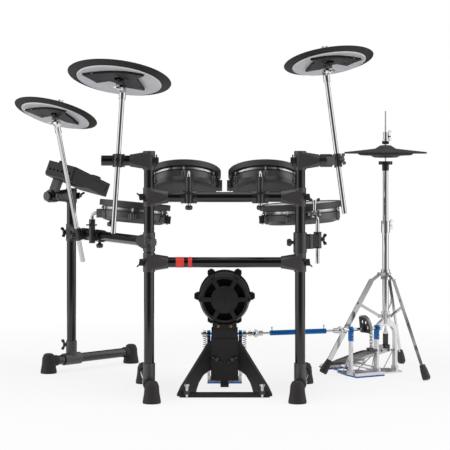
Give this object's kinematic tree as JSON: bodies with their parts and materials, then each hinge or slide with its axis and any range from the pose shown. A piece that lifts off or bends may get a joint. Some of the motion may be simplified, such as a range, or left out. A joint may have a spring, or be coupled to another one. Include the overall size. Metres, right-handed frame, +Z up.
{
  "type": "electronic drum kit",
  "caption": "Electronic drum kit: black pipe rack with mesh drum pads, rubber cymbal pads, sound module, kick tower with double pedal and a chrome hi-hat stand.",
  "frame": {"origin": "on the floor, on the underside of the kick tower's cross bar, midway between the two front posts", "axes": "+X to the right seen from the audience, +Y from the audience towards the player, +Z up"},
  "size_m": [1.6665, 1.0878, 1.3001],
  "materials": {
    "black_tube": "gloss black powder coat",
    "tee_black": "matte moulded nylon",
    "rubber": "moulded rubber",
    "chrome": "polished plating",
    "clamp_black": "satin black die casting",
    "cymbal_rubber": "matt moulded rubber",
    "pad_black": "satin black moulding",
    "mesh": "woven mesh",
    "module_black": "fine-textured moulding",
    "panel_black": "gloss panel",
    "knob_black": "soft knob",
    "kick_black": "satin charcoal",
    "pedal_silver": "cast and brushed",
    "anodised_blue": "blue anodised",
    "board_black": "ridged black board",
    "steel": "bright spring steel"
  },
  "bodies": {
    "rack": {"rack_tubes": "black_tube", "rack_tees": "tee_black", "pipe_caps": "tee_black", "foot_bars": "black_tube", "rubber_feet": "rubber", "rod_clamps": "clamp_black", "clamp_bolts": "clamp_black", "pad_rods": "chrome", "kick_tower": "kick_black", "kick_shell": "kick_black", "kick_head": "mesh", "pedal_frames": "pedal_silver", "bearing_caps": "anodised_blue", "hihat_frame": "pedal_silver", "hihat_lower_tube": "chrome", "main_spring": "steel", "second_spring": "steel", "main_chain": "steel", "slave_chain": "steel"},
    "ride_rod": {"ride_rod": "chrome"},
    "ride_tilter": {"ride_tilter": "chrome"},
    "ride_pad": {"ride_pad": "cymbal_rubber"},
    "crash_right_rod": {"crash_right_rod": "chrome"},
    "crash_right_tilter": {"crash_right_tilter": "chrome"},
    "crash_right_pad": {"crash_right_pad": "cymbal_rubber"},
    "crash_left_rod": {"crash_left_rod": "chrome"},
    "crash_left_tilter": {"crash_left_tilter": "chrome"},
    "crash_left_pad": {"crash_left_pad": "cymbal_rubber"},
    "tom_left": {"tom_left_shell": "pad_black", "tom_left_head": "mesh"},
    "tom_right": {"tom_right_shell": "pad_black", "tom_right_head": "mesh"},
    "floor_tom": {"floor_tom_shell": "pad_black", "floor_tom_head": "mesh"},
    "snare": {"snare_shell": "pad_black", "snare_head": "mesh"},
    "module": {"module_body": "module_black", "module_panel": "panel_black", "module_bracket": "clamp_black"},
    "volume_knob": {"volume_knob": "knob_black"},
    "data_dial": {"data_dial": "knob_black"},
    "start_button": {"start_button": "knob_black"},
    "stop_button": {"stop_button": "knob_black"},
    "main_footboard": {"main_footboard": "board_black"},
    "main_axle": {"main_axle": "steel"},
    "second_beater": {"second_beater": "steel"},
    "drive_shaft": {"drive_shaft": "anodised_blue"},
    "slave_footboard": {"slave_footboard": "board_black"},
    "slave_axle": {"slave_axle": "steel"},
    "hihat_upper_tube": {"hihat_upper_tube": "chrome"},
    "hihat_collar": {"hihat_collar": "chrome"},
    "hihat_leg_1": {"hihat_leg_1": "chrome"},
    "hihat_leg_2": {"hihat_leg_2": "chrome"},
    "hihat_leg_3": {"hihat_leg_3": "chrome"},
    "hihat_brace_1": {"hihat_brace_1": "chrome"},
    "hihat_brace_2": {"hihat_brace_2": "chrome"},
    "hihat_brace_3": {"hihat_brace_3": "chrome"},
    "hihat_footboard": {"hihat_footboard": "board_black"},
    "hihat_pull_rod": {"hihat_pull_rod": "chrome"},
    "hihat_pad": {"hihat_pad": "cymbal_rubber"}
  },
  "joints": [
    {"name": "ride_height", "type": "slide", "parent": "rack", "child": "ride_rod", "axis": [0.0558, 0.1369, 0.989], "range_m": [-0.04, 0.04]},
    {"name": "ride_tilt", "type": "hinge", "parent": "ride_rod", "child": "ride_tilter", "pos_m": [-0.37695, 0.00288, 1.13756], "axis": [-0.9259, 0.3778, 0], "range_deg": [-15, 15]},
    {"name": "ride_rock", "type": "hinge", "parent": "ride_tilter", "child": "ride_pad", "pos_m": [-0.38895, 0.0264, 1.19189], "axis": [-0.9259, 0.3778, 0], "range_deg": [-3, 3], "stiffness_Nm_per_rad": 10},
    {"name": "crash_right_height", "type": "slide", "parent": "rack", "child": "crash_right_rod", "axis": [-0.1128, 0.214, 0.9703], "range_m": [-0.04, 0.04]},
    {"name": "crash_right_tilt", "type": "hinge", "parent": "crash_right_rod", "child": "crash_right_tilter", "pos_m": [0.37693, 0.03896, 1.20181], "axis": [0.8846, 0.4664, 0], "range_deg": [-15, 15]},
    {"name": "crash_right_rock", "type": "hinge", "parent": "crash_right_tilter", "child": "crash_right_pad", "pos_m": [0.38738, 0.06202, 1.25666], "axis": [0.8846, 0.4664, 0], "range_deg": [-3, 3], "stiffness_Nm_per_rad": 10},
    {"name": "crash_left_height", "type": "slide", "parent": "rack", "child": "crash_left_rod", "axis": [-0.1601, -0.2034, 0.9659], "range_m": [-0.04, 0.04]},
    {"name": "crash_left_tilt", "type": "hinge", "parent": "crash_left_rod", "child": "crash_left_tilter", "pos_m": [-0.66707, 0.41153, 1.01664], "axis": [-0.7859, 0.6184, 0], "range_deg": [-15, 15]},
    {"name": "crash_left_rock", "type": "hinge", "parent": "crash_left_tilter", "child": "crash_left_pad", "pos_m": [-0.67022, 0.43988, 1.06989], "axis": [-0.7859, 0.6184, 0], "range_deg": [-3, 3], "stiffness_Nm_per_rad": 10},
    {"name": "tom_left_tilt", "type": "hinge", "parent": "rack", "child": "tom_left", "pos_m": [-0.132, 0.04306, 0.80795], "axis": [0, 0.9397, -0.342], "range_deg": [-8, 8]},
    {"name": "tom_right_tilt", "type": "hinge", "parent": "rack", "child": "tom_right", "pos_m": [0.132, 0.04306, 0.80795], "axis": [0, 0.9397, -0.342], "range_deg": [-8, 8]},
    {"name": "floor_tom_tilt", "type": "hinge", "parent": "rack", "child": "floor_tom", "pos_m": [-0.49899, 0.37369, 0.661], "axis": [0.96, -0.28, 0], "range_deg": [-8, 8]},
    {"name": "snare_tilt", "type": "hinge", "parent": "rack", "child": "snare", "pos_m": [0.345, 0.206, 0.664], "axis": [1, 0, 0], "range_deg": [-6, 6]},
    {"name": "module_tilt", "type": "hinge", "parent": "rack", "child": "module", "pos_m": [-0.70366, 0.57937, 0.722], "axis": [-0.7071, -0.7071, 0], "range_deg": [-8, 8]},
    {"name": "volume_turn", "type": "hinge", "parent": "module", "child": "volume_knob", "pos_m": [-0.67256, 0.59426, 0.85207], "axis": [0.3133, 0.1427, 0.9389], "range_deg": [-150, 150]},
    {"name": "dial_turn", "type": "hinge", "parent": "module", "child": "data_dial", "pos_m": [-0.53965, 0.71758, 0.78897], "axis": [0.3133, 0.1427, 0.9389], "continuous": true},
    {"name": "start_press", "type": "slide", "parent": "module", "child": "start_button", "axis": [-0.3133, -0.1427, -0.9389], "range_m": [0, 0.0015], "stiffness_N_per_m": 400, "springref_m": -0.001},
    {"name": "stop_press", "type": "slide", "parent": "module", "child": "stop_button", "axis": [-0.3133, -0.1427, -0.9389], "range_m": [0, 0.0015], "stiffness_N_per_m": 400, "springref_m": -0.001},
    {"name": "main_pedal_press", "type": "hinge", "parent": "rack", "child": "main_footboard", "pos_m": [0, 0.56, 0.024], "axis": [1, 0, 0], "range_deg": [0, 10.2], "stiffness_Nm_per_rad": 24, "springref_deg": -14.32, "deforming": ["main_chain"]},
    {"name": "main_beater_turn", "type": "hinge", "parent": "rack", "child": "main_axle", "pos_m": [0, 0.352, 0.188], "axis": [1, 0, 0], "range_deg": [0, 55], "deforming": ["main_spring"]},
    {"name": "slave_pedal_press", "type": "hinge", "parent": "rack", "child": "slave_footboard", "pos_m": [0.46435, 0.68865, 0.024], "axis": [0.8829, 0.4695, 0], "range_deg": [0, 10.2], "stiffness_Nm_per_rad": 24, "springref_deg": -14.32, "deforming": ["slave_chain"]},
    {"name": "slave_axle_turn", "type": "hinge", "parent": "rack", "child": "slave_axle", "pos_m": [0.562, 0.505, 0.188], "axis": [0.8829, 0.4695, 0], "range_deg": [0, 55]},
    {"name": "shaft_turn", "type": "hinge", "parent": "rack", "child": "drive_shaft", "pos_m": [0.12, 0.352, 0.188], "axis": [0.9597, 0.2809, 0], "range_deg": [0, 55]},
    {"name": "second_beater_turn", "type": "hinge", "parent": "rack", "child": "second_beater", "pos_m": [0, 0.352, 0.188], "axis": [1, 0, 0], "range_deg": [0, 55], "deforming": ["second_spring"]},
    {"name": "hihat_press", "type": "hinge", "parent": "rack", "child": "hihat_footboard", "pos_m": [0.54683, 0.80991, 0.02], "axis": [0.8829, 0.4695, 0], "range_deg": [0, 2.6], "stiffness_Nm_per_rad": 60, "springref_deg": -17.19},
    {"name": "hihat_pull", "type": "slide", "parent": "rack", "child": "hihat_pull_rod", "axis": [0, 0, -1], "range_m": [0, 0.0112]},
    {"name": "hihat_rock", "type": "hinge", "parent": "hihat_pull_rod", "child": "hihat_pad", "pos_m": [0.6595, 0.598, 0.904], "axis": [0.8829, 0.4695, 0], "range_deg": [-3, 3], "stiffness_Nm_per_rad": 10},
    {"name": "hihat_height", "type": "slide", "parent": "rack", "child": "hihat_upper_tube", "axis": [0, 0, 1], "range_m": [-0.15, 0]},
    {"name": "hihat_fold", "type": "slide", "parent": "rack", "child": "hihat_collar", "axis": [0, 0, 1], "range_m": [0, 0.02]},
    {"name": "hihat_leg_1_fold", "type": "hinge", "parent": "hihat_collar", "child": "hihat_leg_1", "pos_m": [0.66882, 0.62227, 0.4], "axis": [-0.9336, 0.3584, 0], "range_deg": [0, 4.64]},
    {"name": "hihat_brace_1_fold", "type": "hinge", "parent": "rack", "child": "hihat_brace_1", "pos_m": [0.66882, 0.62227, 0.23], "axis": [-0.9336, 0.3584, 0], "range_deg": [-9.5, 0]},
    {"name": "hihat_leg_2_fold", "type": "hinge", "parent": "hihat_collar", "child": "hihat_leg_2", "pos_m": [0.63417, 0.59215, 0.4], "axis": [0.225, -0.9744, 0], "range_deg": [0, 4.64]},
    {"name": "hihat_brace_2_fold", "type": "hinge", "parent": "rack", "child": "hihat_brace_2", "pos_m": [0.63417, 0.59215, 0.23], "axis": [0.225, -0.9744, 0], "range_deg": [-9.5, 0]},
    {"name": "hihat_leg_3_fold", "type": "hinge", "parent": "hihat_collar", "child": "hihat_leg_3", "pos_m": [0.67289, 0.57571, 0.4], "axis": [0.8572, 0.515, 0], "range_deg": [0, 4.64]},
    {"name": "hihat_brace_3_fold", "type": "hinge", "parent": "rack", "child": "hihat_brace_3", "pos_m": [0.67289, 0.57571, 0.23], "axis": [0.8572, 0.515, 0], "range_deg": [-9.5, 0]}
  ],
  "couplings": [
    {"joint": "main_beater_turn", "follows": "main_pedal_press", "ratio": 5.3431},
    {"joint": "slave_axle_turn", "follows": "slave_pedal_press", "ratio": 5.3431},
    {"joint": "shaft_turn", "follows": "slave_pedal_press", "ratio": 5.3431},
    {"joint": "second_beater_turn", "follows": "slave_pedal_press", "ratio": 5.3431},
    {"joint": "hihat_pull", "follows": "hihat_press", "m_per_rad": 0.24},
    {"joint": "hihat_leg_1_fold", "follows": "hihat_fold", "rad_per_m": 3.8704},
    {"joint": "hihat_brace_1_fold", "follows": "hihat_fold", "rad_per_m": -8.1178},
    {"joint": "hihat_leg_2_fold", "follows": "hihat_fold", "rad_per_m": 3.8704},
    {"joint": "hihat_brace_2_fold", "follows": "hihat_fold", "rad_per_m": -8.1178},
    {"joint": "hihat_leg_3_fold", "follows": "hihat_fold", "rad_per_m": 3.8704},
    {"joint": "hihat_brace_3_fold", "follows": "hihat_fold", "rad_per_m": -8.1178}
  ]
}
